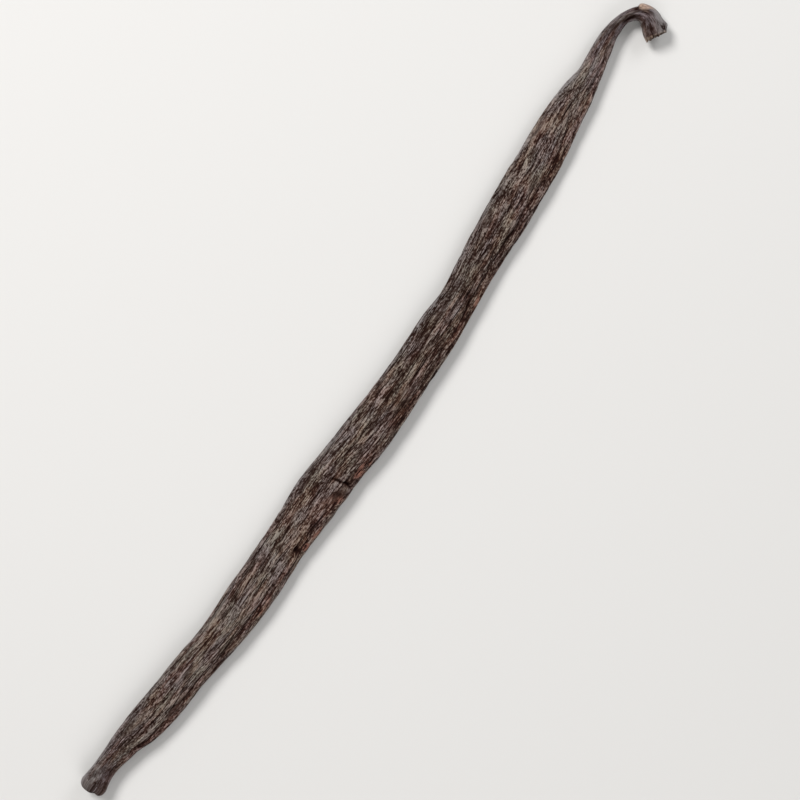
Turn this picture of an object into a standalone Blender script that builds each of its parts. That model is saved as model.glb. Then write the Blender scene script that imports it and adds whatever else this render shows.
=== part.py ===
"""A cured vanilla pod: one solid, lying on the flattened part of its underside.

Frame: +X runs along the pod, from the blunt blossom end to the hooked stem end, and +Z is up.
The origin is the middle of the pod's box, on the surface that it lies on.
"""

from collections import namedtuple

import bmesh
import bpy
import numpy as np

MM = 0.001

# The pod's plan, in millimetres: how far along, how far aside and how wide it is at each place
# where its outline changes. The sides between two places follow one smooth curve.
Station = namedtuple("Station", "along aside width")
STATIONS = (
    Station(-0.3, 0.1, 4.95),  # flare of the blossom end
    Station(2.0, 0.15, 4.2),  # small waist behind it
    Station(9.0, -0.45, 5.15),
    Station(13.0, -1.2, 6.35),  # shoulder, where the pod fills out
    Station(18.5, -1.95, 6.85),
    Station(26.0, -2.55, 6.85),
    Station(36.0, -3.6, 7.2),
    Station(42.0, -3.75, 7.9),  # long first swelling
    Station(56.0, -3.65, 7.75),
    Station(67.0, -3.7, 8.8),  # widest place, above the crosswise fold
    Station(72.0, -4.0, 8.4),
    Station(77.5, -4.5, 8.6),
    Station(95.0, -4.85, 7.5),
    Station(102.5, -4.7, 7.55),
    Station(107.5, -4.65, 6.75),  # waist beside the pit
    Station(115.0, -3.9, 6.95),
    Station(128.5, -2.9, 8.0),  # last swelling
    Station(137.0, -2.35, 7.8),
    Station(146.5, -1.4, 6.7),
    Station(151.0, -1.2, 5.85),
    Station(155.5, -1.0, 4.25),  # neck
    Station(159.6, -0.35, 3.65),
    Station(164.1, 0.05, 2.85),
    Station(167.6, -0.7, 2.25),  # thinnest place, where the hook bends
    Station(169.4, -2.4, 3.0),
    Station(169.7, -3.7, 3.95),  # stem end, swollen where it joined the plant
    Station(169.2, -5.05, 4.25),
    Station(168.3, -6.45, 4.7),
    Station(167.9, -7.05, 4.6),  # broken face
)

# Section: as wide as the plan says, flatter than that where the pod is broad, nearly round where thin.
THICKNESS_BASE, THICKNESS_PER_WIDTH = 1.9, 0.37
ROUNDEST = 0.92  # most thickness for its width
AXIS_HEIGHT = 2.15  # a pod that is thicker than twice this lies flat on its underside
ARCH, ARCH_LENGTH = 0.2, 78.0  # the axis rises and falls a little along the pod
TIP_RISE, TIP_RISE_LENGTH = 0.35, 14.0  # and lifts clear of the surface at the blossom end
TWIST, TWIST_LENGTH = 7.0, 96.0  # degrees that the section leans to either side

# Furrows: place round the section in degrees (0 is the +Y side, 90 the top), depth in millimetres,
# and the sway of the furrow to either side in degrees, over a length in millimetres.
Furrow = namedtuple("Furrow", "place depth sway sway_length")
FURROWS = (
    Furrow(28, 0.22, 9, 47),
    Furrow(76, 0.20, 14, 66),
    Furrow(133, 0.30, 7, 83),
    Furrow(208, 0.24, 8, 58),
    Furrow(236, 0.26, 12, 71),
    Furrow(304, 0.24, 11, 52),
)
FURROW_HALF_WIDTH = 15.0  # degrees
FURROW_FADE = 12.0  # millimetres at each end of the pod without full furrows

# Dents: distance along the pod and place round it, half sizes along and round, and depth.
Dent = namedtuple("Dent", "along place half_length half_angle depth")
DENTS = (
    Dent(70.4, 130, 1.1, 34, 0.50),  # crosswise fold
    Dent(55.7, 144, 1.3, 20, 0.55),  # notch in the -Y side
    Dent(110.5, 112, 1.2, 22, 0.40),  # pit
)

# Blossom end: a blunt tip of two lobes with a cleft between them, leaning towards +Y.
TIP_LENGTH, TIP_LEAN = 1.6, 0.3
CLEFT_PLACE, CLEFT_HALF_WIDTH, CLEFT_DEPTH = -0.38, 0.2, 0.3  # shares of the half width, then mm
TIP_RINGS = (0.985, 0.93, 0.84, 0.70, 0.50, 0.27)  # each ring's share of the flare's size

# Stem end: a scar that stands up from the outer side of the hook, and a broken face with a rim,
# whose outer corner is worn away.
SCAR_START, SCAR_LENGTH, SCAR_HEIGHT, SCAR_HALF_ANGLE = 5.6, 1.0, 0.55, 48.0
CORNER_LENGTH, CORNER_DEPTH, CORNER_HALF_ANGLE = 1.1, 0.45, 48.0
BREAK_RINGS = ((0.93, 0.10), (0.74, -0.22), (0.38, -0.34))  # share of the size, and how far out
LIP_LENGTH, LIP_PLACE, LIP_HALF_ANGLE = 0.4, 175.0, 52.0  # ragged lip on the inner side

SIDES = 28
RING_STEP = 0.2  # distance between two rings, as a share of the width there
POD_COLOUR, POD_ROUGHNESS = (0.075, 0.048, 0.038, 1.0), 0.5


def through(knots, values, at):
    """A smooth cubic curve through the values at their knots, read at some places."""
    slopes = np.gradient(values, knots)
    left = np.clip(np.searchsorted(knots, at) - 1, 0, len(knots) - 2)
    gap = knots[left + 1] - knots[left]
    t = (at - knots[left]) / gap
    return (
        (2 * t**3 - 3 * t**2 + 1) * values[left]
        + (t**3 - 2 * t**2 + t) * gap * slopes[left]
        + (3 * t**2 - 2 * t**3) * values[left + 1]
        + (t**3 - t**2) * gap * slopes[left + 1]
    )


def bump(distance, half_size):
    """1 at no distance, falling smoothly away past the half size."""
    return np.exp(-((distance / half_size) ** 2))


def degrees_apart(a, b):
    return (a - b + 180.0) % 360.0 - 180.0


def fade(share):
    """Smooth step from 0 to 1."""
    t = np.clip(share, 0.0, 1.0)
    return t * t * (3.0 - 2.0 * t)


class Plan:
    """The pod's axis and width, read at distances along it."""

    def __init__(self, stations):
        table = np.array(stations, float)
        steps = np.hypot(*np.diff(table[:, :2], axis=0).T)
        self.knots = np.concatenate([[0.0], np.cumsum(steps)])
        self.along, self.aside, self.widths = table.T
        self.length = self.knots[-1]

    def axis(self, at):
        return np.stack([through(self.knots, self.along, at), through(self.knots, self.aside, at)], axis=-1)

    def tangent(self, at):
        reach = 0.05
        low, high = np.clip(at - reach, 0, self.length), np.clip(at + reach, 0, self.length)
        ahead = self.axis(high) - self.axis(low)
        return ahead / np.linalg.norm(ahead, axis=-1, keepdims=True)

    def width(self, at):
        return through(self.knots, self.widths, at)


def thickness(width):
    return np.minimum(ROUNDEST * width, THICKNESS_BASE + THICKNESS_PER_WIDTH * width)


def axis_height(at):
    arch = ARCH * np.sin(2 * np.pi * at / ARCH_LENGTH)
    return AXIS_HEIGHT + arch + TIP_RISE * fade(1 - at / TIP_RISE_LENGTH)


def relief(plan, at, place):
    """How far the skin stands out from the plain section, in millimetres, at a distance and a place round."""
    ends = fade(at / FURROW_FADE) * fade((plan.length - at) / FURROW_FADE)
    height = np.zeros(np.broadcast(at, place).shape)
    for n, furrow in enumerate(FURROWS):
        middle = furrow.place + furrow.sway * np.sin(2 * np.pi * at / furrow.sway_length + n)
        height -= furrow.depth * ends * bump(degrees_apart(place, middle), FURROW_HALF_WIDTH)
    for dent in DENTS:
        across = bump(degrees_apart(place, dent.place), dent.half_angle)
        height -= dent.depth * across * bump(at - dent.along, dent.half_length)
    past_scar = (at - (plan.length - SCAR_START)) / SCAR_LENGTH
    scar = fade(past_scar * 3) * fade(1 - past_scar / 2)
    height += SCAR_HEIGHT * scar * bump(degrees_apart(place, 0.0), SCAR_HALF_ANGLE)
    worn = fade(1 - (plan.length - at) / CORNER_LENGTH)
    return height - CORNER_DEPTH * worn * bump(degrees_apart(place, 0.0), CORNER_HALF_ANGLE)


def ring_places(plan):
    """Distances along the pod of its rings, close together where it is thin."""
    places = [0.0]
    while places[-1] < plan.length:
        places.append(places[-1] + RING_STEP * float(plan.width(np.array(places[-1]))))
    return np.array(places) * plan.length / places[-1]


def tip_advance(share, across, half_width):
    """How far the blossom end reaches past its flare, at a share of its size and a place across it."""
    round_end = TIP_LENGTH * np.sqrt(1 - share**4)
    cleft = CLEFT_DEPTH * bump(across / half_width - CLEFT_PLACE, CLEFT_HALF_WIDTH) * fade((1 - share) * 6)
    return round_end - cleft + TIP_LEAN * (across / half_width) * (1 - share) * 0.5


def break_advance(out, place):
    """How far the broken face stands out, with the lip that tore away last."""
    return out + LIP_LENGTH * bump(degrees_apart(place, LIP_PLACE), LIP_HALF_ANGLE)


def section(plan, at, share):
    """One ring's points as (across, up) in millimetres, before it is put in place, and their places round."""
    turn = np.arange(SIDES) * 2 * np.pi / SIDES
    angle = turn + 0.125 * np.sin(2 * turn)  # spreads the points evenly round a flat section
    place = np.degrees(angle)
    half_width = plan.width(at) / 2
    half_height = thickness(2 * half_width) / 2
    across, up = half_width * np.cos(angle), half_height * np.sin(angle)
    normal = np.stack([across / half_width**2, up / half_height**2])
    normal /= np.linalg.norm(normal, axis=0)
    out = relief(plan, at, place)
    across, up = share * (across + out * normal[0]), share * (up + out * normal[1])
    lean = np.radians(TWIST) * np.sin(2 * np.pi * at / TWIST_LENGTH)
    return across * np.cos(lean) - up * np.sin(lean), across * np.sin(lean) + up * np.cos(lean), place


def ring(plan, at, share, advance):
    """One ring's points in millimetres. advance(across, place) is how far it stands along the pod."""
    across, up, place = section(plan, at, share)
    ahead = plan.tangent(at)
    aside = np.array([-ahead[1], ahead[0]])
    flat = plan.axis(at) + np.outer(across, aside) + np.outer(advance(across, place), ahead)
    height = np.maximum(axis_height(at) + up, 0.0)
    return np.column_stack([flat, height])


def pod_rings(plan):
    """All rings from the blossom end's tip to the middle of the broken face."""
    flare = plan.width(np.array(0.0)) / 2
    rings = []
    for share in reversed(TIP_RINGS):
        rings.append(ring(plan, np.array(0.0), share, lambda y, _, s=share: -tip_advance(s, y, flare)))
    for at in ring_places(plan):
        rings.append(ring(plan, at, 1.0, lambda y, _: 0.0 * y))
    for share, out in BREAK_RINGS:
        rings.append(ring(plan, np.array(plan.length), share, lambda _, p, o=out: break_advance(o, p)))
    return rings


def skin(rings):
    """A closed mesh over the rings, with a fan to a middle point at each end."""
    bm = bmesh.new()
    loops = [[bm.verts.new(point * MM) for point in points] for points in rings]
    for low, high in zip(loops, loops[1:]):
        for n in range(SIDES):
            m = (n + 1) % SIDES
            bm.faces.new((low[n], high[n], high[m], low[m]))
    for loop in (loops[0], loops[-1]):
        middle = bm.verts.new(sum((v.co for v in loop), loop[0].co * 0) / SIDES)
        for n in range(SIDES):
            bm.faces.new((loop[n], loop[(n + 1) % SIDES], middle))
    bmesh.ops.recalc_face_normals(bm, faces=bm.faces)
    return bm


def centre_on_origin(bm):
    """Puts the middle of the box's underside on the origin."""
    points = np.array([v.co for v in bm.verts])
    low, high = points.min(axis=0), points.max(axis=0)
    bmesh.ops.translate(bm, verts=bm.verts, vec=(-(low[0] + high[0]) / 2, -(low[1] + high[1]) / 2, -low[2]))


def pod_material():
    material = bpy.data.materials.new("pod_skin")
    material.use_nodes = True
    shader = material.node_tree.nodes["Principled BSDF"]
    shader.inputs["Base Color"].default_value = POD_COLOUR
    shader.inputs["Roughness"].default_value = POD_ROUGHNESS
    shader.inputs["Metallic"].default_value = 0.0
    return material


def make_pod():
    bm = skin(pod_rings(Plan(STATIONS)))
    centre_on_origin(bm)
    mesh = bpy.data.meshes.new("pod")
    bm.to_mesh(mesh)
    bm.free()
    mesh.shade_smooth()
    mesh.materials.append(pod_material())
    bpy.context.scene.collection.objects.link(bpy.data.objects.new("pod", mesh))


for old in list(bpy.data.objects):
    bpy.data.objects.remove(old)
make_pod()
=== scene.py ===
"""The looks of a cured vanilla pod: one finely wrinkled skin round the CAD pod, on a pale floor.

Lengths are in millimetres, and become metres where they go into Blender. A place on the skin is a distance
along the pod's axis from the blossom end, and an angle in degrees round it: 0 on the +Y side, 90 on top.
"""

import itertools
import math
from collections import namedtuple

import bpy
import numpy as np
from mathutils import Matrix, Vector


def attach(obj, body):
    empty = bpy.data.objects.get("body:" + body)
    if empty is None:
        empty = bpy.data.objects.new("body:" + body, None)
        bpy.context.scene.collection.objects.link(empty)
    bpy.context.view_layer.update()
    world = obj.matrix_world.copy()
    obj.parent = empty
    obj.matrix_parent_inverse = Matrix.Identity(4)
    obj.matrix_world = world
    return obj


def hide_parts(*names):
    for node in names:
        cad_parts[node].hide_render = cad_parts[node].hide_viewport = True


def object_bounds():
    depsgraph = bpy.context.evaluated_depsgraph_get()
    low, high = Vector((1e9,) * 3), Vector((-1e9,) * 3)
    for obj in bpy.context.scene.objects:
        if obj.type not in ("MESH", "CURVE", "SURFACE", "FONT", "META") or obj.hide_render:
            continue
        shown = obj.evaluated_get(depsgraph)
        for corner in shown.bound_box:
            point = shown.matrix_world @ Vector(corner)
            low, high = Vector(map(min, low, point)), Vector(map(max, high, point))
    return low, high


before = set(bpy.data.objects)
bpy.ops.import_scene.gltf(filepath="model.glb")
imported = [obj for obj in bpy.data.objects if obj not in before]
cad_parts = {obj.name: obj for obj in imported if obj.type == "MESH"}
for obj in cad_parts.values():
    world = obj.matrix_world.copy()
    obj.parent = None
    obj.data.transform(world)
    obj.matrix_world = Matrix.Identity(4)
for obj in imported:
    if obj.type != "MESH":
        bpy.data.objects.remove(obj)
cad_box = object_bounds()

MM = 0.001

# ---------------------------------------------------------------- the pod's plain form, as in the CAD

Station = namedtuple("Station", "along aside width")
STATIONS = (
    Station(-0.3, 0.1, 4.95),  # flare of the blossom end
    Station(2.0, 0.15, 4.2),  # small waist behind it
    Station(9.0, -0.45, 5.15),
    Station(13.0, -1.2, 6.35),  # shoulder, where the pod fills out
    Station(18.5, -1.95, 6.85),
    Station(26.0, -2.55, 6.85),
    Station(36.0, -3.6, 7.2),
    Station(42.0, -3.75, 7.9),  # long first swelling
    Station(56.0, -3.65, 7.75),
    Station(67.0, -3.7, 8.8),  # widest place, above the crosswise fold
    Station(72.0, -4.0, 8.4),
    Station(77.5, -4.5, 8.6),
    Station(95.0, -4.85, 7.5),
    Station(102.5, -4.7, 7.55),
    Station(107.5, -4.65, 6.75),  # waist beside the pit
    Station(115.0, -3.9, 6.95),
    Station(128.5, -2.9, 8.0),  # last swelling
    Station(137.0, -2.35, 7.8),
    Station(146.5, -1.4, 6.7),
    Station(151.0, -1.2, 5.85),
    Station(155.5, -1.0, 4.25),  # neck
    Station(159.6, -0.35, 3.65),
    Station(164.1, 0.05, 2.85),
    Station(167.6, -0.7, 2.25),  # thinnest place, where the hook bends
    Station(169.4, -2.4, 3.0),
    Station(169.7, -3.7, 3.95),  # stem end, swollen where it joined the plant
    Station(169.2, -5.05, 4.25),
    Station(168.3, -6.45, 4.7),
    Station(167.9, -7.05, 4.6),  # broken face
)
THICKNESS_BASE, THICKNESS_PER_WIDTH = 1.9, 0.37
ROUNDEST = 0.92  # the greatest thickness, as a share of the width
AXIS_HEIGHT = 2.15
ARCH, ARCH_LENGTH = 0.2, 78.0
TIP_RISE, TIP_RISE_LENGTH = 0.35, 14.0
TWIST, TWIST_LENGTH = 7.0, 96.0
SPREAD = 0.125  # spaces the points evenly round a flat section

Furrow = namedtuple("Furrow", "place depth sway sway_length")
FURROWS = (
    Furrow(28, 0.22, 9, 47),
    Furrow(76, 0.20, 14, 66),
    Furrow(133, 0.30, 7, 83),
    Furrow(208, 0.24, 8, 58),
    Furrow(236, 0.26, 12, 71),
    Furrow(304, 0.24, 11, 52),
)
FURROW_HALF_WIDTH = 15.0  # degrees
FURROW_FADE = 12.0  # millimetres at each end of the pod without full furrows

# Blossom end: a blunt tip of two lobes with a cleft between them, leaning towards +Y.
TIP_LENGTH, TIP_LEAN = 1.6, 0.3
CLEFT_PLACE, CLEFT_HALF_WIDTH, CLEFT_DEPTH = -0.38, 0.2, 0.3  # shares of the half width, then mm
CLEFT_STEEPNESS = 6.0

# Stem end: a scar that stands up from the outer side of the hook, a worn corner and a ragged lip.
SCAR_START, SCAR_LENGTH, SCAR_HEIGHT, SCAR_HALF_ANGLE = 5.6, 1.0, 0.55, 48.0
SCAR_RISE, SCAR_FALL = 3.0, 2.0  # how steeply it rises, and how many of its lengths it takes to fall
CORNER_LENGTH, CORNER_DEPTH, CORNER_HALF_ANGLE = 1.1, 0.45, 48.0
LIP_LENGTH, LIP_PLACE, LIP_HALF_ANGLE = 0.4, 175.0, 52.0

# ---------------------------------------------------------------- the skin's resolution and wrinkles

SIDES, SEAM = 192, -90.0  # the seam's place is the underside
BODY_RINGS, TIP_RINGS, BREAK_RINGS = 484, 15, 14
# The ends' rings as shares of the section's size: the blossom end's are spaced as on a round end.
INNERMOST, OUTERMOST = 0.06, 0.97
TIP_SHARES = np.sin(np.linspace(INNERMOST, 1.0, TIP_RINGS) * math.pi / 2)
BREAK_SHARES = np.linspace(OUTERMOST, INNERMOST, BREAK_RINGS)
# The skin unrolls into strips on the map that its looks are baked through, with a narrow edge round each.
BAKE_STRIPS, BAKE_EDGE = 3, 0.01
# The wrinkles are laid out on a tube: its radius at distances along the pod.
TUBE_AT = (0.0, 16.0, 26.0, 50.0, 60.0, 146.0, 164.0, 176.0)
TUBE_RADIUS = (2.4, 3.4, 4.3, 4.3, 3.4, 3.4, 1.8, 2.3)

DENSITY_STEPS = 4000  # the rings' spacing is worked out in this many steps along the pod
# Places with closer rings: distance along the pod, half length, and how many rings are added for each one.
CloseUp = namedtuple("CloseUp", "along half_length times")
CLOSE_UPS = (
    CloseUp(0.0, 2.0, 1.2),
    CloseUp(55.5, 1.2, 1.0),
    CloseUp(70.3, 1.8, 2.2),
    CloseUp(110.6, 1.6, 1.0),
    CloseUp(173.5, 4.5, 1.0),
)

# Wrinkles of one kind: the seed of the noise that they follow, how far apart they are round the pod, how long
# they are, how deep, how wide their bottoms are as a share of that noise, and how strongly they are coloured:
# their bottoms darker and their backs lighter, partly the skin's own colour and partly painted shade and
# painted highlight.
Wrinkle = namedtuple("Wrinkle", "seed spacing length depth width shown")
WRINKLES = (
    Wrinkle(31, 2.4, 22.0, 0.26, 0.18, 0.11),  # folds
    Wrinkle(32, 1.05, 11.0, 0.26, 0.18, 0.31),
    Wrinkle(33, 0.50, 6.0, 0.15, 0.20, 0.30),  # creases
)
PROUD, PROUD_AT_SIDES, ENDS_TAKE = 0.11, 0.18, 0.9  # how far ridges stand out, and how much less at the ends
SHALLOWER_AT_SIDES = 0.5
# What smooth skin keeps of how far ridges stand out, of the wrinkles' depth and of the chips.
PROUD_IF_SMOOTH, DEPTH_IF_SMOOTH, CHIPS_IF_SMOOTH, SHOWN_IF_SMOOTH = 0.65, 0.12, 0.3, 0.15

# Seeded noise over the skin: its cells' size round the pod and along it, and its strength.
Cells = namedtuple("Cells", "seed spacing length strength")
WANDER, FINE_WANDER = Cells(11, 3.0, 12.0, 0.12), Cells(12, 1.5, 3.5, 0.05)  # turn the wrinkles
SLIDE = Cells(13, 2.0, 6.0, 1.2)  # moves the wrinkles along
FOLD_STRAY, FOLD_UNEVEN = Cells(14, 1.1, 60.0, 0.3), Cells(15, 0.9, 60.0, 0.3)
BROKEN = Cells(16, 2.0, 5.0, 1.6)  # where the furrows' dark lines are broken
ZONES = Cells(21, 3.0, 8.0, 1.0)  # where the skin is smooth between the wrinkles
HUE = Cells(22, 2.2, 5.0, 1.0)
MOTTLE, BROAD_MOTTLE = Cells(23, 0.9, 1.3, 1.0), Cells(24, 2.0, 3.0, 0.6)
# Breaks the grey along the sides, partly dust and partly painted sheen, into patches.
SHEEN_AND_DUST_NOISE = Cells(25, 3.0, 7.0, 0.7)
REDNESS, FINE_REDNESS = Cells(26, 1.8, 6.0, 1.0), Cells(27, 0.8, 2.5, 0.7)
CHIPS = Cells(34, 0.55, 3.4, 1.0)  # lighter and darker scales between the creases
CHIPS_DEPTH, CHIPS_SHOWN = 0.05, 0.20
STREAKS = Cells(41, 0.9, 2.2, 0.5)
SCAR_EDGE = Cells(42, 0.8, 0.8, 0.3)
FRAY = Cells(43, 0.5, 0.5, 0.4)
TORN = Cells(44, 0.6, 1.0, 0.3)

# Smooth skin near the ends: its share, how far from the end it is full, and the length that it fades over.
TIP_SMOOTH = ((0.6, 3.0, 11.0), (0.3, 1.0, 4.0))
STEM_SMOOTH = ((0.6, 14.0, 12.0), (0.4, 9.0, 6.0))
ZONES_SMOOTH, ZONES_FROM, ZONES_EDGE = 0.8, 0.3, 3.0  # their share, the noise where they start, how sharply
# How smooth the grey patches of dust and painted sheen make the skin.
SHEEN_AND_DUST_PATCH_SMOOTH = 0.9

# The dark line of painted shade in each furrow's bottom, and a fainter one beside it. Both are fainter
# towards the stem.
LINE_HALF_ANGLE, SECOND_LINE_HALF_ANGLE, SECOND_LINE_AWAY, SECOND_LINE_SHARE = 3.0, 2.5, 11.0, 0.6
LINE_WHOLE = 0.8  # the lines' strength where nothing breaks them, before it is held under 1
LINES_FAINT, LINES_FAINT_FROM, LINES_FAINT_LENGTH = 0.6, 115.0, 20.0

# The crosswise fold, from the top down the -Y side, with the flap behind it.
FOLD_AT, FOLD_FROM, FOLD_TO = 69.5, 90.0, 168.0
FOLD_BEND, FOLD_TURN = 1.2, 2.2  # how far its line bends, and how far through a wave it gets, in radians
FOLD_START, FOLD_STOP = 4.5, 5.0  # how steeply it deepens at its ends
FOLD_DEPTH, FOLD_EVENNESS, FOLD_HALF_LENGTH = 0.72, 0.9, 0.24
FLAP_HEIGHT, FLAP_LENGTH, FLAP_RISE, FLAP_END = 0.16, 1.7, 4.0, 1.6  # the last two go by the flap's length

# Pits: distance along and place round, half sizes along and round in millimetres and degrees, depth.
Dent = namedtuple("Dent", "along place half_length half_angle depth")
PITS = (
    Dent(55.5, 136, 0.75, 14, 0.65),
    Dent(57.3, 150, 0.6, 7, 0.25),
    Dent(110.5, 105, 0.8, 12, 0.5),
    Dent(109.3, 121, 0.7, 8, 0.28),
    Dent(67.9, 84, 0.5, 6, 0.30),
    Dent(67.0, 76, 0.45, 6, 0.28),
    Dent(65.9, 70, 0.6, 5, 0.26),
    Dent(65.2, 82, 0.4, 5, 0.24),
    Dent(64.3, 66, 0.5, 5, 0.22),
    Dent(151.5, 58, 0.6, 9, 0.28),
    Dent(1.7, 74, 0.45, 13, 0.38),
    Dent(0.2, 96, 0.9, 9, 0.15),
    Dent(170.1, 62, 0.35, 22, 0.22),
    Dent(174.9, 44, 0.26, 10, 0.2),
    Dent(174.3, 58, 0.25, 9, 0.16),
    Dent(173.8, 10, 0.5, 40, 0.10),
    Dent(174.8, 14, 0.5, 28, -0.16),  # knob on the worn corner
    Dent(168.9, 138, 1.3, 36, 0.25),
    Dent(172.6, 156, 0.8, 26, 0.08),
)
ORANGE_EDGE_SPOTS = (  # the depth is how strongly the orange-red shows
    Dent(56.9, 158, 0.8, 13, 1.0),
    Dent(60.2, 161, 2.6, 9, 0.55),
    Dent(67.5, 154, 1.4, 15, 0.75),
    Dent(73.3, 157, 1.2, 16, 1.0),
    Dent(75.0, 142, 0.7, 7, 0.8),
    Dent(76.2, 158, 0.7, 9, 0.8),
    Dent(111.0, 150, 2.5, 13, 0.6),
    Dent(44.0, 148, 4.0, 14, 0.4),
    Dent(90.0, 148, 6.0, 14, 0.4),
)
SMOOTH_PATCHES = (  # the depth is how smooth they are
    Dent(105.6, 62, 2.6, 9, 0.95),
    Dent(66.0, 118, 2.2, 12, 0.8),
    Dent(60.0, 70, 1.6, 12, 0.8),
)
# Lighter and darker places, partly the skin's own tone and partly painted light and shade, most on the ends
# and the hook: the inside of the hook's bend is shaded and the outside of its head lit. The depth is how much
# lighter the skin is there.
SHADES = (
    Dent(1.3, 48, 1.6, 18, -0.02),
    Dent(1.3, 76, 1.6, 15, 0.34),
    Dent(1.8, 108, 2.4, 14, -0.24),
    Dent(3.2, 134, 4.0, 18, -0.14),
    Dent(5.0, 50, 2.2, 20, -0.10),
    Dent(9.0, 85, 2.0, 32, -0.12),
    Dent(13.8, 78, 2.6, 38, 0.13),
    Dent(13.5, 106, 2.4, 12, 0.10),
    Dent(143.0, 104, 3.0, 13, 0.13),
    Dent(144.0, 133, 5.0, 15, 0.15),
    Dent(153.5, 104, 2.2, 12, -0.12),
    Dent(154.5, 133, 4.5, 15, 0.25),
    Dent(156.5, 68, 2.6, 24, 0.14),
    Dent(160.0, 50, 2.4, 18, -0.12),
    Dent(163.0, 135, 4.5, 14, 0.22),
    Dent(165.0, 50, 2.4, 18, 0.12),
    Dent(165.2, 100, 2.4, 26, -0.18),
    Dent(168.8, 134, 1.7, 24, -0.42),
    Dent(168.6, 76, 1.2, 14, 0.10),
    Dent(171.4, 82, 1.4, 18, -0.36),
    Dent(171.4, 104, 1.2, 11, 0.20),
    Dent(173.2, 66, 1.5, 30, 0.20),
    Dent(174.0, 137, 2.6, 20, -0.24),
    Dent(172.0, 50, 1.0, 18, 0.18),
    Dent(175.3, 58, 0.7, 26, -0.24),
    Dent(175.4, 128, 0.8, 24, -0.16),
)
# How much finer the skin's grain is against its lines, at distances along the pod.
GRAIN_AT = (0.0, 15.0, 28.0, 54.0, 66.0, 78.0, 105.0, 128.0, 150.0, 162.0, 176.0)
GRAIN = (0.95, 0.95, 0.8, 0.8, 0.88, 0.75, 0.8, 0.92, 0.88, 0.75, 0.8)
# The wrinkles get shorter towards the stem: how far along their pattern has run.
RUN_AT, RUN = (0.0, 118.0, 160.0, 176.0), (0.0, 118.0, 171.0, 189.0)
# How much lighter or darker the skin is at distances along the pod.
TONE_AT = (0.0, 15.0, 28.0, 46.0, 64.0, 82.0, 100.0, 118.0, 136.0, 152.0, 176.0)
TONE = (0.0, 0.01, 0.08, 0.105, 0.02, -0.05, -0.135, -0.06, 0.01, 0.09, 0.02)
# Smooth grey patches along the +Y side, partly dust and partly painted sheen.
SHEEN_AND_DUST_PATCHES = (
    Dent(65.5, 15, 5.0, 13, 0.8),
    Dent(76.0, 22, 3.6, 16, 0.9),
    Dent(100.5, 18, 4.5, 14, 0.8),
    Dent(107.0, 20, 2.0, 15, 0.8),
    Dent(152.5, 24, 3.4, 22, 1.0),
    Dent(165.0, 26, 3.6, 17, 0.75),
)
# Places that draw the wrinkles together: the depth is how strongly.
PINCHES = (
    Dent(110.5, 105, 5.0, 26, 0.5),
    Dent(70.3, 128, 4.0, 30, 0.4),
    Dent(55.5, 136, 3.0, 20, 0.5),
)

# How light the skin is on the whole, how strongly smooth skin is mottled, and how much darker the furrows,
# their lines and the pits are, as painted shade; raised places such as the flap behind the fold are painted
# lighter the same way.
LIGHTNESS, MOTTLE_SHOWN = 0.528, 0.3
FURROW_DARK, LINE_DARK, PIT_DARK = 0.21, 0.19, 1.1
# Bands along the pod: the place of the middle and half the angle. The dark band is painted shade along the -Y
# side, over its deepest furrow.
DARK_BAND, DARK_BAND_SHADE = (132.0, 12.0), 0.05
# Grey along both sides, partly dust and partly painted sheen at the edges: a share of it is in patches, and
# the rest is on the smooth ends.
GREY_SIDE, GREY_OTHER_SIDE, GREY_OTHER_SHARE = (4.0, 26.0), (180.0, 20.0), 0.45
SHEEN_AND_DUST_LEVEL, SHEEN_AND_DUST_SHARE, SHEEN_AND_DUST_PATCH_GREY = 0.7, 0.5, 0.6
# Grey on the blossom end's +Y flank, partly dust and partly painted sheen.
GREY_TIP, GREY_TIP_SHARE, GREY_TIP_END, GREY_TIP_FADE = (45.0, 45.0), 0.3, 6.0, 4.0
# Grey on the outside of the hook's head, a painted sheen: distances from the stem's end, and wider near the
# broken face.
HEAD_PLACE, HEAD_HALF_ANGLE, HEAD_WIDER, HEAD_SHARE = 42.0, 26.0, 20.0, 0.85
HEAD_START, HEAD_WIDER_START, HEAD_FADE = 4.4, 3.8, 1.2
# Orange-red patches along the -Y edge: how far they spread from their places, and how strong they have to be
# to show.
ORANGE_EDGE_SPREAD, ORANGE_EDGE_CUT = 1.7, 0.35
# Tan on the scar: the band, where it ends past the scar's start, and where its ragged edge is.
TAN_BAND, TAN_END, TAN_FADE, TAN_CUT, TAN_EDGE = (36.0, 42.0), 2.3, 1.3, 0.2, 2.5
# Torn fibre on the rim of the broken face, its length and share, and what the lip adds to each. A thin pale
# streak in the same colour runs along the inside of the hook: a painted highlight.
FIBRE_LENGTH, FIBRE_SHARE, LIP_BAND, LIP_FIBRE_LENGTH, LIP_FIBRE_SHARE = 0.25, 0.3, (182.0, 22.0), 0.5, 0.6
INSIDE_HIGHLIGHT_BAND, INSIDE_HIGHLIGHT_SHARE, INSIDE_HIGHLIGHT_FROM, INSIDE_HIGHLIGHT_FADE = (190.0, 14.0), 0.55, 6.0, 2.0
# Redder skin with painted shade on the -Y side: how far across it starts and is full, and how much less there
# is at the ends.
RED_SHADED_SIDE_FROM, RED_SHADED_SIDE_RANGE, RED_SHADED_SIDE_ENDS_TAKE = 0.1, 0.8, 0.8

# The broken face: a hollow, a thin rim round it, and how near the rim it is torn.
HOLLOW_DEPTH, HOLLOW_STEEPNESS = 0.55, 2.2
RIM_HEIGHT, RIM_SHARE, RIM_HALF_WIDTH = 0.12, 0.93, 0.05
TORN_FROM, TORN_STEEPNESS = 0.8, 8.0

# ---------------------------------------------------------------- curves and noise


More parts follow.
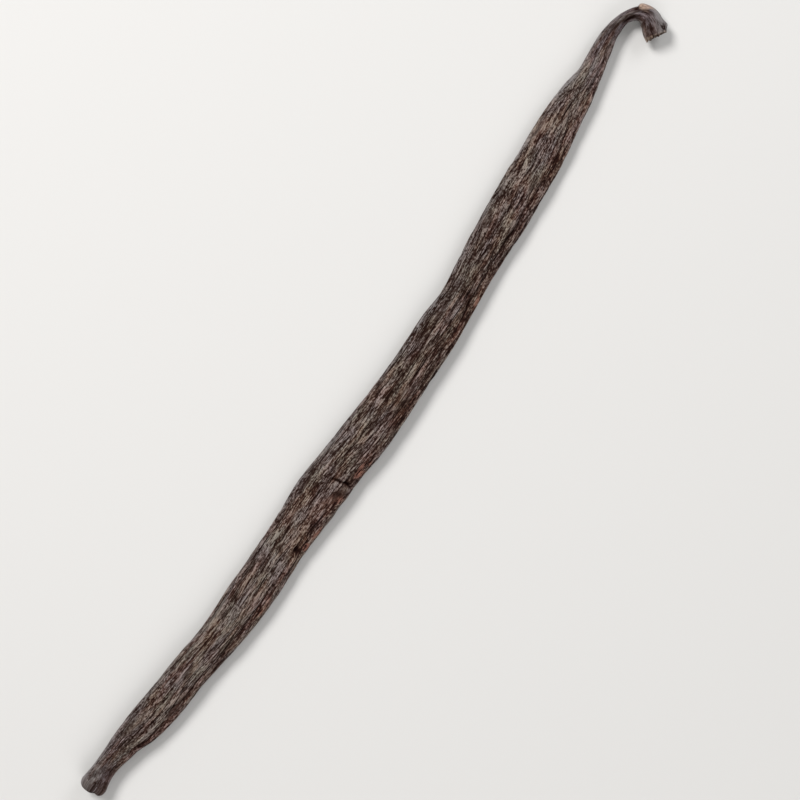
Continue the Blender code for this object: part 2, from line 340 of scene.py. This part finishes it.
def through(knots, values, at):
    """A smooth cubic curve through the values at their knots, read at some places."""
    slopes = np.gradient(values, knots)
    left = np.clip(np.searchsorted(knots, at) - 1, 0, len(knots) - 2)
    gap = knots[left + 1] - knots[left]
    t = (at - knots[left]) / gap
    return (
        (2 * t**3 - 3 * t**2 + 1) * values[left]
        + (t**3 - 2 * t**2 + t) * gap * slopes[left]
        + (3 * t**2 - 2 * t**3) * values[left + 1]
        + (t**3 - t**2) * gap * slopes[left + 1]
    )


def bump(distance, half_size):
    """1 at no distance, falling smoothly away past the half size."""
    return np.exp(-((distance / half_size) ** 2))


def degrees_apart(a, b):
    return (a - b + 180.0) % 360.0 - 180.0


def fade(share):
    """Smooth step from 0 to 1."""
    t = np.clip(share, 0.0, 1.0)
    return t * t * (3.0 - 2.0 * t)


class Noise:
    """Seeded gradient noise over space measured in cells, about -1 to 1."""

    CORNERS = tuple(itertools.product((0, 1), repeat=3))
    ARROWS = 256
    STRENGTH = 1.7

    def __init__(self, seed):
        rng = np.random.default_rng(seed)
        self.order = rng.permutation(self.ARROWS)
        arrows = rng.normal(size=(self.ARROWS, 3))
        self.arrows = arrows / np.linalg.norm(arrows, axis=1, keepdims=True)

    def __call__(self, points):
        cell = np.floor(points).astype(int)
        inside = points - cell
        ease = inside**3 * (inside * (inside * 6 - 15) + 10)
        total = np.zeros(points.shape[:-1])
        for corner in self.CORNERS:
            pick = 0
            for step in np.moveaxis(cell + corner, -1, 0):
                pick = self.order[(pick + step) % self.ARROWS]
            weight = np.where(corner, ease, 1 - ease).prod(axis=-1)
            total += weight * (self.arrows[pick] * (inside - corner)).sum(axis=-1)
        return total * self.STRENGTH


class Plan:
    """The pod's axis and width, read at distances along it."""

    def __init__(self, stations):
        table = np.array(stations, float)
        steps = np.hypot(*np.diff(table[:, :2], axis=0).T)
        self.knots = np.concatenate([[0.0], np.cumsum(steps)])
        self.along, self.aside, self.widths = table.T
        self.length = self.knots[-1]

    def axis(self, at):
        return np.stack([through(self.knots, self.along, at), through(self.knots, self.aside, at)], axis=-1)

    def tangent(self, at):
        reach = 0.05
        low, high = np.clip(at - reach, 0, self.length), np.clip(at + reach, 0, self.length)
        ahead = self.axis(high) - self.axis(low)
        return ahead / np.linalg.norm(ahead, axis=-1, keepdims=True)

    def width(self, at):
        return through(self.knots, self.widths, at)


PLAN = Plan(STATIONS)


# ---------------------------------------------------------------- the skin's relief


def spread(turn):
    """Angle on the section's ellipse for a place at an even distance round it."""
    return turn + SPREAD * np.sin(2 * turn)


def between(low, high, share):
    return low + (high - low) * share


def noise_points(at, turn, spacing, length):
    """Places on the wrinkles' tube, measured in cells of a spacing round it and a length along it."""
    radius = np.interp(at, TUBE_AT, TUBE_RADIUS) / spacing
    return np.stack([at / length, radius * np.cos(turn), radius * np.sin(turn)], axis=-1)


def pattern(kind, at, turn):
    """The noise that wrinkles or cells of one kind follow."""
    return Noise(kind.seed)(noise_points(at, turn, kind.spacing, kind.length))


def creased(noise, width):
    """0 in the bottoms of the creases, rising to 1 on the backs between them."""
    return 1 - np.exp(-((noise / width) ** 2))


class Skin:
    """The relief of the pod's skin, and the masks that its colours follow, over a grid of places."""

    def __init__(self, at, turn):
        self.at, self.turn = at, turn
        self.place = np.degrees(spread(turn))
        self.sideways = np.cos(spread(turn)) ** 2
        self.from_stem = PLAN.length - at
        self.ends = self.smooth_ends()
        self.smooth = self.smoothness()
        self.rough = 1 - self.smooth
        self.hue = self.noise(HUE)
        self.redness = self.noise(REDNESS) + self.noise(FINE_REDNESS)
        furrow, line = self.furrows()
        pit = self.spots(PITS) + self.fold()
        self.height = self.proud() + self.scar() - self.corner() - furrow - pit
        shown = self.add_wrinkles()
        # Painted shade: the furrows, their bottoms' lines, the pits and the fold are darkened, and the flap
        # and knob that stand out are lightened.
        self.level = self.lightness(shown) - (FURROW_DARK * furrow + LINE_DARK * line + PIT_DARK * pit)

    # Building blocks.

    def noise(self, cells):
        return cells.strength * pattern(cells, self.at, self.turn)

    def near(self, place, half_angle):
        """1 along a line at a place round the pod, falling away to both sides of it."""
        return bump(degrees_apart(self.place, place), half_angle)

    def spots(self, dents):
        depth = np.zeros(self.at.shape)
        for dent in dents:
            across = self.near(dent.place, dent.half_angle)
            depth += dent.depth * across * bump(self.at - dent.along, dent.half_length)
        return depth

    # Smooth skin.

    def smooth_ends(self):
        """1 at the ends' smooth skin, 0 along the wrinkled body."""
        tip = sum(share * fade(1 - (self.at - full) / length) for share, full, length in TIP_SMOOTH)
        stem = sum(share * fade(1 - (self.from_stem - full) / length) for share, full, length in STEM_SMOOTH)
        return np.maximum(tip, stem)

    def smoothness(self):
        zones = ZONES_SMOOTH * fade((self.noise(ZONES) - ZONES_FROM) * ZONES_EDGE)
        patches = np.maximum(self.spots(SMOOTH_PATCHES), SHEEN_AND_DUST_PATCH_SMOOTH * self.spots(SHEEN_AND_DUST_PATCHES))
        return np.maximum(np.maximum(self.ends, zones), patches)

    # Relief.

    def proud(self):
        """How far the highest ridges stand out from the plain form."""
        height = between(PROUD, PROUD_AT_SIDES, self.sideways)
        return height * ((1 - ENDS_TAKE * self.ends) * between(PROUD_IF_SMOOTH, 1, self.rough))

    def furrows(self):
        """The depth of the furrows, and the thin dark lines of painted shade along their bottoms."""
        ends = fade(self.at / FURROW_FADE) * fade(self.from_stem / FURROW_FADE)
        depth, line = np.zeros(self.at.shape), np.zeros(self.at.shape)
        broken = fade(LINE_WHOLE + self.noise(BROKEN))
        broken *= 1 - LINES_FAINT * fade((self.at - LINES_FAINT_FROM) / LINES_FAINT_LENGTH)
        for n, furrow in enumerate(FURROWS):
            middle = furrow.place + furrow.sway * np.sin(2 * np.pi * self.at / furrow.sway_length + n)
            away = degrees_apart(self.place, middle)
            depth += furrow.depth * ends * bump(away, FURROW_HALF_WIDTH)
            second = SECOND_LINE_SHARE * bump(away - SECOND_LINE_AWAY, SECOND_LINE_HALF_ANGLE)
            line += ends * broken * (bump(away, LINE_HALF_ANGLE) + second)
        return depth, line

    def fold(self):
        """The depth of the crosswise fold, less the height of the flap behind it."""
        share = (self.place % 360 - FOLD_FROM) / (FOLD_TO - FOLD_FROM)
        inside = fade(share * FOLD_START) * fade((1 - share) * FOLD_STOP)
        line = FOLD_AT + FOLD_BEND * np.sin(np.clip(share, 0, 1) * FOLD_TURN) + self.noise(FOLD_STRAY)
        behind = (line - self.at) / FLAP_LENGTH
        flap = FLAP_HEIGHT * fade(behind * FLAP_RISE) * fade(FLAP_END - behind)
        depth = FOLD_DEPTH * (FOLD_EVENNESS + self.noise(FOLD_UNEVEN))
        return inside * (depth * bump(line - self.at, FOLD_HALF_LENGTH) - flap)

    def past_scar(self):
        return (SCAR_START - self.from_stem) / SCAR_LENGTH

    def scar(self):
        past = self.past_scar()
        rise = fade(past * SCAR_RISE) * fade(1 - past / SCAR_FALL)
        return SCAR_HEIGHT * rise * self.near(0.0, SCAR_HALF_ANGLE)

    def corner(self):
        worn = fade(1 - self.from_stem / CORNER_LENGTH)
        return CORNER_DEPTH * worn * self.near(0.0, CORNER_HALF_ANGLE)

    def warped(self):
        """The wrinkles' own places: they wander, are pinched together and get shorter towards the stem."""
        turn = self.turn + (self.noise(WANDER) + self.noise(FINE_WANDER))
        for pinch in PINCHES:
            away = degrees_apart(self.place, pinch.place)
            close = bump(self.at - pinch.along, pinch.half_length) * bump(away, pinch.half_angle)
            turn += pinch.depth * close * np.radians(away)
        return np.interp(self.at, RUN_AT, RUN) + self.noise(SLIDE), turn

    def add_wrinkles(self):
        """Cuts the wrinkles into the relief, and gives how light their backs and bottoms are, partly as
        painted shade in the bottoms and painted highlight on the backs.
        """
        warped = self.warped()
        shown = np.zeros(self.at.shape)
        shallower = between(DEPTH_IF_SMOOTH, 1, self.rough) * (1 - SHALLOWER_AT_SIDES * self.sideways)
        for kind in WRINKLES:
            backs = creased(pattern(kind, *warped), kind.width)
            self.height -= kind.depth * shallower * (1 - backs)
            shown += kind.shown * (backs - backs.mean())
        chips = pattern(CHIPS, *warped)
        self.height += CHIPS_DEPTH * between(CHIPS_IF_SMOOTH, 1, self.rough) * chips
        return shown + CHIPS_SHOWN * chips

    # Masks for the colours.

    def lightness(self, shown):
        """How light the skin is outside the furrows and pits, from 0 to 1, with painted shade and light from
        the wrinkles, the lighter and darker places and the dark band in it.
        """
        mottle = self.noise(MOTTLE) + self.noise(BROAD_MOTTLE)
        level = LIGHTNESS + between(SHOWN_IF_SMOOTH, 1, self.rough) * shown
        level += MOTTLE_SHOWN * np.sqrt(self.smooth) * mottle
        level += self.spots(SHADES) + np.interp(self.at, TONE_AT, TONE)
        # A band of painted shade along the -Y side, where the skin is wrinkled.
        return level - DARK_BAND_SHADE * self.near(*DARK_BAND) * self.rough

    def orange_edge(self):
        """Orange-red patches along the -Y edge."""
        return fade(ORANGE_EDGE_SPREAD * self.spots(ORANGE_EDGE_SPOTS) + self.noise(STREAKS) - ORANGE_EDGE_CUT)

    def tan(self):
        """Dry scar on the outside of the hook."""
        past = self.past_scar()
        scar = fade(past * SCAR_RISE) * fade((TAN_END - past) / TAN_FADE) * self.near(*TAN_BAND)
        return fade((scar + self.noise(SCAR_EDGE) - TAN_CUT) * TAN_EDGE)

    def fibre_and_highlight(self):
        """Torn pale fibre on the rim of the broken face, most at its lip, and a painted highlight along the
        inside of the hook.
        """
        ragged = self.noise(FRAY)
        lip = self.near(*LIP_BAND)
        inside_highlight = INSIDE_HIGHLIGHT_SHARE * self.near(*INSIDE_HIGHLIGHT_BAND) * fade((INSIDE_HIGHLIGHT_FROM - self.from_stem) / INSIDE_HIGHLIGHT_FADE)
        rim = fade(1.0 - self.from_stem / (FIBRE_LENGTH + LIP_FIBRE_LENGTH * lip))
        rim *= FIBRE_SHARE + LIP_FIBRE_SHARE * lip + ragged
        return np.clip(np.maximum(rim, inside_highlight * (1 + ragged)), 0, 1)

    def red_shaded_side(self):
        """How much redder and darker the skin is towards the -Y side: redder skin, and painted shade on the
        side away from the key lamp.
        """
        across = -np.cos(np.radians(self.place))
        return fade((across - RED_SHADED_SIDE_FROM) / RED_SHADED_SIDE_RANGE) * (1 - RED_SHADED_SIDE_ENDS_TAKE * self.ends)

    def rim(self):
        """How grey the skin is, partly dust and partly painted sheen: along both sides, most at the ends, on
        the hook's outside and at the blossom end.
        """
        side = self.near(*GREY_SIDE) + GREY_OTHER_SHARE * self.near(*GREY_OTHER_SIDE)
        side *= between(self.ends, SHEEN_AND_DUST_LEVEL + self.noise(SHEEN_AND_DUST_NOISE), SHEEN_AND_DUST_SHARE)
        reach = HEAD_HALF_ANGLE + HEAD_WIDER * fade((HEAD_WIDER_START - self.from_stem) / HEAD_FADE)
        head = HEAD_SHARE * self.near(HEAD_PLACE, reach) * fade((HEAD_START - self.from_stem) / HEAD_FADE)
        tip = GREY_TIP_SHARE * self.near(*GREY_TIP) * fade((GREY_TIP_END - self.at) / GREY_TIP_FADE)
        return np.clip(side + SHEEN_AND_DUST_PATCH_GREY * self.spots(SHEEN_AND_DUST_PATCHES) + head + tip, 0, 1)


# ---------------------------------------------------------------- the skin's mesh


def thickness(width):
    return np.minimum(ROUNDEST * width, THICKNESS_BASE + THICKNESS_PER_WIDTH * width)


def axis_height(at):
    arch = ARCH * np.sin(2 * np.pi * at / ARCH_LENGTH)
    return AXIS_HEIGHT + arch + TIP_RISE * fade(1 - at / TIP_RISE_LENGTH)


def tip_advance(share, across, half_width):
    """How far the blossom end reaches past its flare, at a share of its size and a place across it."""
    round_end = TIP_LENGTH * np.sqrt(1 - share**4)
    out = across / half_width
    cleft = CLEFT_DEPTH * bump(out - CLEFT_PLACE, CLEFT_HALF_WIDTH) * fade((1 - share) * CLEFT_STEEPNESS)
    return round_end - cleft + TIP_LEAN * out * (1 - share) / 2


def break_advance(share, place):
    """How far the broken face stands out: a thin torn rim round a hollow, and the lip that tore away last."""
    hollow = HOLLOW_DEPTH * fade((1 - share) * HOLLOW_STEEPNESS)
    rim = RIM_HEIGHT * bump(share - RIM_SHARE, RIM_HALF_WIDTH)
    torn = TORN.strength * pattern(TORN, np.zeros_like(place), np.radians(place))
    torn *= fade((share - TORN_FROM) * TORN_STEEPNESS)
    return LIP_LENGTH * bump(degrees_apart(place, LIP_PLACE), LIP_HALF_ANGLE) - (hollow - rim) + torn


def body_places():
    """Distances along the pod of the body's rings, closer together at the close-ups."""
    at = np.linspace(0, PLAN.length, DENSITY_STEPS)
    density = 1 + sum(c.times * bump(at - c.along, c.half_length) for c in CLOSE_UPS)
    count = np.concatenate([[0.0], np.cumsum((density[1:] + density[:-1]) / 2)])
    return np.interp(np.linspace(0, count[-1], BODY_RINGS), count, at)


def ring_plan():
    """A row for each ring: distance along, share of the section's size, and which end it closes."""
    tip = [(0.0, share, "tip") for share in TIP_SHARES[:-1]]
    end = [(PLAN.length, share, "break") for share in BREAK_SHARES]
    return tip + [(at, 1.0, "") for at in body_places()] + end


def pod_points():
    """The pod's points in millimetres, ring by ring, and the skin that they carry."""
    rings = ring_plan()
    at = np.array([r[0] for r in rings])[:, None] + np.zeros(SIDES)
    share = np.array([r[1] for r in rings])[:, None]
    turn = np.radians(SEAM + np.arange(SIDES) * 360 / SIDES) + np.zeros((len(rings), 1))
    skin = Skin(at, turn)
    half_width = PLAN.width(at) / 2
    half_height = thickness(2 * half_width) / 2
    angle = spread(turn)
    across, up = half_width * np.cos(angle), half_height * np.sin(angle)
    normal = np.stack([across / half_width**2, up / half_height**2])
    normal /= np.linalg.norm(normal, axis=0)
    across = share * (across + skin.height * normal[0])
    up = share * (up + skin.height * normal[1])
    lean = np.radians(TWIST) * np.sin(2 * np.pi * at / TWIST_LENGTH)
    across, up = across * np.cos(lean) - up * np.sin(lean), across * np.sin(lean) + up * np.cos(lean)
    kinds = np.array([r[2] for r in rings])[:, None]
    advance = np.where(kinds == "tip", -tip_advance(share, across, half_width), 0.0)
    advance = np.where(kinds == "break", break_advance(share, skin.place), advance)
    ahead = PLAN.tangent(at)
    aside = np.stack([-ahead[..., 1], ahead[..., 0]], axis=-1)
    flat = PLAN.axis(at) + across[..., None] * aside + advance[..., None] * ahead
    height = np.maximum(axis_height(at) + up, 0.0)
    return np.concatenate([flat, height[..., None]], axis=-1), skin


def pod_faces(rings):
    """The ring and side of each face's corners: four between rings, and a fan to a middle point at an end."""
    faces = []
    for ring, side in itertools.product(range(rings - 1), range(SIDES)):
        faces.append(((ring, side + 1), (ring + 1, side + 1), (ring + 1, side), (ring, side)))
    for side in range(SIDES):
        faces.append(((0, side), (0, side + 1), (-1, side + 0.5)))
        faces.append(((rings - 1, side + 1), (rings - 1, side), (rings, side + 0.5)))
    return faces


def point_number(rings, ring, side):
    """A corner's point: the points go ring by ring, and the two middle points of the ends come last."""
    if ring == -1:
        return rings * SIDES
    if ring == rings:
        return rings * SIDES + 1
    return ring * SIDES + side % SIDES


def add_bake_map(mesh, points, faces):
    """Unrolls the skin into strips laid side by side, with the seam along the underside."""
    steps = np.linalg.norm(np.diff(points, axis=0), axis=-1).mean(axis=1)
    reach = np.cumsum([0.0, steps[0], *steps, steps[-1]])
    reach = (reach * BAKE_STRIPS / reach[-1]).tolist()
    inside = 1 - 2 * BAKE_EDGE
    places = []
    for face in faces:
        strip = int(reach[min(ring for ring, side in face) + 1])
        for ring, side in face:
            along, around = reach[ring + 1] - strip, side / SIDES
            places += [BAKE_EDGE + inside * along, (strip + BAKE_EDGE + inside * around) / BAKE_STRIPS]
    mesh.uv_layers.new(name="OFBake").data.foreach_set("uv", places)


def with_ends(values):
    """A grid of values as one row for each point, with the two end points' values last."""
    flat = values.reshape(-1, *values.shape[2:])
    return np.concatenate([flat, values[:1].mean(axis=1), values[-1:].mean(axis=1)])


def add_values(mesh, name, values):
    """One number, or three, for each point of the mesh, from a grid of them."""
    rows = with_ends(values).astype(np.float32)
    kind, key = ("FLOAT_VECTOR", "vector") if rows.ndim == 2 else ("FLOAT", "value")
    mesh.attributes.new(name, kind, "POINT").data.foreach_set(key, rows.ravel())


def make_pod():
    points, skin = pod_points()
    flat = with_ends(points)
    low, high = flat.min(axis=0), flat.max(axis=0)
    cad_low, cad_high = (np.array(corner) / MM for corner in cad_box)
    flat += [*(cad_low + cad_high - low - high)[:2] / 2, cad_low[2] - low[2]]
    rings, faces = len(points), pod_faces(len(points))
    corners = [[point_number(rings, *corner) for corner in face] for face in faces]
    mesh = bpy.data.meshes.new("vanilla_pod")
    mesh.from_pydata((flat * MM).tolist(), [], corners)
    add_bake_map(mesh, points, faces)
    mesh.shade_smooth()
    fields = {
        "tube": noise_points(skin.at, skin.turn, 1.0, 1.0),
        "level": skin.level,
        "smooth": skin.smooth,
        "hue": skin.hue,
        "grain": np.interp(skin.at, GRAIN_AT, GRAIN),
        "redness": skin.redness,
        "red_shaded_side": skin.red_shaded_side(),
        "rim": skin.rim(),
        "ends": skin.ends,
        "orange_edge": skin.orange_edge(),
        "tan": skin.tan(),
        "fibre_and_highlight": skin.fibre_and_highlight(),
    }
    for name, values in fields.items():
        add_values(mesh, name, values)
    pod = bpy.data.objects.new("vanilla_pod", mesh)
    bpy.context.scene.collection.objects.link(pod)
    return pod


# ---------------------------------------------------------------- materials


class Nodes:
    """Short ways to add and join the nodes of one material."""

    def __init__(self, name):
        self.material = bpy.data.materials.new(name)
        self.material.use_nodes = True
        self.tree = self.material.node_tree
        self.shader = self.tree.nodes["Principled BSDF"]

    def add(self, kind, **settings):
        node = self.tree.nodes.new(kind)
        for key, value in settings.items():
            setattr(node, key, value)
        return node

    def put(self, socket, value):
        if hasattr(value, "is_linked"):
            self.tree.links.new(value, socket)
        else:
            socket.default_value = value

    def field(self, name, vector=False):
        node = self.add("ShaderNodeAttribute", attribute_name=name)
        return node.outputs["Vector" if vector else "Fac"]

    def math(self, operation, a, b=0.0):
        node = self.add("ShaderNodeMath", operation=operation)
        for socket, value in zip(node.inputs, (a, b)):
            self.put(socket, value)
        return node.outputs[0]

    def noise(self, vector, scale, detail):
        """Noise with its own scale along each axis."""
        place = self.add("ShaderNodeMapping")
        self.put(place.inputs["Vector"], vector)
        place.inputs["Scale"].default_value = scale
        node = self.add("ShaderNodeTexNoise")
        self.put(node.inputs["Vector"], place.outputs[0])
        node.inputs["Scale"].default_value = 1.0
        node.inputs["Detail"].default_value = detail
        return node.outputs["Fac"]

    def creased(self, noise, width):
        """0 along thin lines where the noise crosses its middle, 1 between them."""
        away = self.math("ABSOLUTE", self.math("SUBTRACT", noise, 0.5))
        return self.span(away, 0.0, width)

    def span(self, value, low, high, to_low=0.0, to_high=1.0):
        """The value moved smoothly from one span to another, and held inside it."""
        node = self.add("ShaderNodeMapRange", interpolation_type="SMOOTHSTEP")
        for socket, number in zip(node.inputs, (value, low, high, to_low, to_high)):
            self.put(socket, number)
        return node.outputs[0]

    def ramp(self, value, stops):
        """Colours along a value, from stops of place and colour."""
        node = self.add("ShaderNodeValToRGB")
        self.put(node.inputs[0], value)
        elements = node.color_ramp.elements
        while len(elements) < len(stops):
            elements.new(1.0)
        for element, (place, colour) in zip(elements, stops):
            element.position = place
            element.color = (*colour, 1.0)
        return node.outputs[0]

    def mix(self, share, a, b, blend="MIX"):
        node = self.add("ShaderNodeMix", data_type="RGBA", blend_type=blend)
        self.put(node.inputs["Factor"], share)
        for socket, colour in zip((node.inputs[6], node.inputs[7]), (a, b)):
            self.put(socket, colour if hasattr(colour, "is_linked") else (*colour, 1.0))
        return node.outputs[2]

    def tint(self, share, colour, tint):
        """The colour multiplied by the tint, as far as the share says."""
        return self.mix(share, colour, tint, "MULTIPLY")


# The skin's colour from the bottoms of the creases to the backs of the ridges: partly its own darker and
# lighter skin, and partly painted shade in the bottoms and painted highlights on the backs.
LEVELS = (
    (0.05, (0.012, 0.0030, 0.0013)),
    (0.20, (0.023, 0.0101, 0.0062)),
    (0.38, (0.046, 0.0277, 0.0215)),
    (0.50, (0.068, 0.0458, 0.0380)),
    (0.62, (0.100, 0.0733, 0.0614)),
    (0.80, (0.165, 0.1272, 0.1100)),
    (0.95, (0.240, 0.1940, 0.1690)),
)
# Tints that multiply that colour, and the noise at which the first ones are full.
OLIVE, MAUVE, HUE_RANGE = (0.99, 1.01, 0.95), (1.0, 0.98, 1.05), 0.45
REDDER, GREYER, REDNESS_RANGE = (1.11, 0.92, 0.83), (0.96, 1.02, 1.05), 0.6
# Redder skin and painted shade on the -Y side.
RED_SHADED_SIDE_TINT = (0.88, 0.71, 0.66)
ENDS = (0.96, 0.99, 1.12)  # the ends' skin is greyer
BACKS_FROM, BACKS_TO, BACKS_REDDEN = 0.5, 0.9, 0.35  # the ridges' backs take less of the red tints and of the -Y side's painted shade

# Colours that cover it. Each follows a mask, broken up by the skin's level or its beads: from low to high of
# those, its share goes from to_low to to_high.
Cover = namedtuple("Cover", "mask by low high to_low to_high colour")
COVERS = (
    Cover("rim", "level", 0.1, 0.6, 0.0, 1.0, (0.215, 0.198, 0.196)),  # painted sheen and dust
    Cover("orange_edge", "level", 0.05, 0.4, 0.0, 1.0, (0.21, 0.098, 0.073)),  # orange-red patches on the -Y edge
    Cover("tan", "bead", 0.35, 0.6, 0.4, 0.95, (0.44, 0.31, 0.24)),  # dry scar
    # torn fibre, and a painted highlight along the inside of the hook
    Cover("fibre_and_highlight", "bead", 0.35, 0.6, 0.2, 0.9, (0.36, 0.27, 0.20)),
)

# The finest grain, as noise along and round the tube: threads between thin lines, and beads. Where the grain
# is finer there are more beads and less of the threads.
THREAD_SCALE, THREAD_DETAIL, THREAD_WIDTH, THREAD_MIDDLE = (0.26, 2.9, 2.9), 1.0, 0.09, 0.7
BEAD_SCALE, BEAD_DETAIL, BEAD_MIDDLE = (2.2, 3.8, 3.8), 2.0, 0.5
THREADS_MOST, THREADS_LESS, BEADS_MORE = 1.05, 0.6, 2.45
QUIET = 0.45  # what is left of it on smooth skin
GRAIN_RELIEF = 0.16

# The ridges' backs are shinier than the creases' bottoms.
ROUGH_UNDER, ROUGH_OVER, BOTTOM_ROUGHNESS, BACK_ROUGHNESS, SPECULAR = 0.2, 0.9, 0.65, 0.36, 0.08
FLOOR_COLOUR, FLOOR_ROUGHNESS = (0.57, 0.563, 0.551), 0.8


def fine_grain(m):
    """The beads alone, and threads and beads together, about 0 in the middle."""
    tube, grain = m.field("tube", vector=True), m.field("grain")
    thread = m.creased(m.noise(tube, THREAD_SCALE, THREAD_DETAIL), THREAD_WIDTH)
    bead = m.noise(tube, BEAD_SCALE, BEAD_DETAIL)
    threads_share = m.math("SUBTRACT", THREADS_MOST, m.math("MULTIPLY", grain, THREADS_LESS))
    threads = m.math("MULTIPLY", m.math("SUBTRACT", thread, THREAD_MIDDLE), threads_share)
    beads_share = m.math("MULTIPLY", grain, BEADS_MORE)
    beads = m.math("MULTIPLY", m.math("SUBTRACT", bead, BEAD_MIDDLE), beads_share)
    return bead, m.math("ADD", threads, beads)


def tinted_skin(m, level):
    """The colour of whole skin: darker where it is low, partly as painted shade, redder or greyer from place
    to place, and redder with painted shade towards the -Y side.
    """
    hue, redness = m.field("hue"), m.field("redness")
    redden = m.span(level, BACKS_FROM, BACKS_TO, 1.0, BACKS_REDDEN)
    colour = m.ramp(level, LEVELS)
    colour = m.tint(m.span(hue, 0.0, -HUE_RANGE), colour, OLIVE)
    colour = m.tint(m.span(hue, 0.0, HUE_RANGE), colour, MAUVE)
    colour = m.tint(m.math("MULTIPLY", redden, m.span(redness, 0.0, REDNESS_RANGE)), colour, REDDER)
    colour = m.tint(m.span(redness, 0.0, -REDNESS_RANGE), colour, GREYER)
    colour = m.tint(m.math("MULTIPLY", redden, m.field("red_shaded_side")), colour, RED_SHADED_SIDE_TINT)
    return m.tint(m.field("ends"), colour, ENDS)


def covered_skin(m, colour, level, bead):
    """The colour with these over it: grey dust and painted sheen, orange-red patches on the -Y edge, the
    scar, and torn fibre with a painted highlight along the hook's inside.
    """
    values = {"level": level, "bead": bead}
    for cover in COVERS:
        broken = m.span(values[cover.by], cover.low, cover.high, cover.to_low, cover.to_high)
        colour = m.mix(m.math("MULTIPLY", m.field(cover.mask), broken), colour, cover.colour)
    return colour


def pod_material():
    m = Nodes("pod_skin")
    bead, fine = fine_grain(m)
    quiet = m.span(m.field("smooth"), 0.0, 1.0, 1.0, QUIET)
    level = m.math("ADD", m.field("level"), m.math("MULTIPLY", fine, quiet))
    colour = covered_skin(m, tinted_skin(m, level), level, bead)
    m.put(m.shader.inputs["Base Color"], colour)
    roughness = m.span(level, ROUGH_UNDER, ROUGH_OVER, BOTTOM_ROUGHNESS, BACK_ROUGHNESS)
    m.put(m.shader.inputs["Roughness"], roughness)
    m.shader.inputs["Specular IOR Level"].default_value = SPECULAR
    relief = m.add("ShaderNodeBump")
    relief.inputs["Strength"].default_value = 1.0
    relief.inputs["Distance"].default_value = GRAIN_RELIEF * MM
    m.put(relief.inputs["Height"], fine)
    m.put(m.shader.inputs["Normal"], relief.outputs[0])
    return m.material


def floor_material():
    m = Nodes("pale_floor")
    m.shader.inputs["Base Color"].default_value = (*FLOOR_COLOUR, 1.0)
    m.shader.inputs["Roughness"].default_value = FLOOR_ROUGHNESS
    return m.material


# ---------------------------------------------------------------- the room

VIEW_ALONG = 55.5  # degrees from level that the pod's length points, up to the right
VIEW_CENTRE = (2.83, -2.84)  # what the camera looks at
VIEW_WIDTH = 144.8  # how much of the floor the camera sees from side to side
LENS, SENSOR = 85.0, 36.0
CLIP_START = 10.0
FLOOR_SIZE = 3000.0

# The lamps point at the origin. Their places and sizes are in metres, and their power in watts.
Lamp = namedtuple("Lamp", "name place size power colour")
LAMPS = (
    Lamp("key", (0.10, 0.44, 0.58), 0.3, 5.3, (1.0, 0.99, 0.98)),
    Lamp("fill", (-0.32, -0.36, 0.42), 0.5, 1.5, (1.0, 0.99, 0.98)),
    Lamp("side", (0.60, -0.10, 0.40), 0.4, 1.9, (0.98, 0.99, 1.0)),
)
SKY_COLOUR, SKY_STRENGTH = (1.0, 1.0, 1.0, 1.0), 0.3


def add_floor():
    bpy.ops.mesh.primitive_plane_add(size=FLOOR_SIZE * MM)
    floor = bpy.context.object
    floor.name = "floor"
    floor.data.materials.append(floor_material())


def add_camera():
    camera = bpy.data.objects.new("camera", bpy.data.cameras.new("camera"))
    bpy.context.scene.collection.objects.link(camera)
    camera.data.lens, camera.data.sensor_width = LENS, SENSOR
    camera.data.clip_start = CLIP_START * MM
    x, y = VIEW_CENTRE
    height = VIEW_WIDTH * LENS / SENSOR
    camera.location = (x * MM, y * MM, height * MM)
    camera.rotation_euler = (0.0, 0.0, math.radians(-VIEW_ALONG))
    bpy.context.scene.camera = camera


def add_lamp(lamp):
    light = bpy.data.lights.new(lamp.name, "AREA")
    light.shape, light.size = "DISK", lamp.size
    light.energy, light.color = lamp.power, lamp.colour
    stand = bpy.data.objects.new(lamp.name, light)
    stand.location = lamp.place
    stand.rotation_euler = (-Vector(lamp.place)).to_track_quat("-Z", "Y").to_euler()
    bpy.context.scene.collection.objects.link(stand)


def add_sky():
    world = bpy.data.worlds.new("studio")
    bpy.context.scene.world = world
    world.use_nodes = True
    background = world.node_tree.nodes["Background"]
    background.inputs["Color"].default_value = SKY_COLOUR
    background.inputs["Strength"].default_value = SKY_STRENGTH


pod = make_pod()
pod.data.materials.append(pod_material())
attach(pod, "root")
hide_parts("pod")
add_floor()
add_camera()
add_sky()
for lamp in LAMPS:
    add_lamp(lamp)
bpy.context.scene.view_settings.view_transform = "Standard"

bpy.context.view_layer.update()
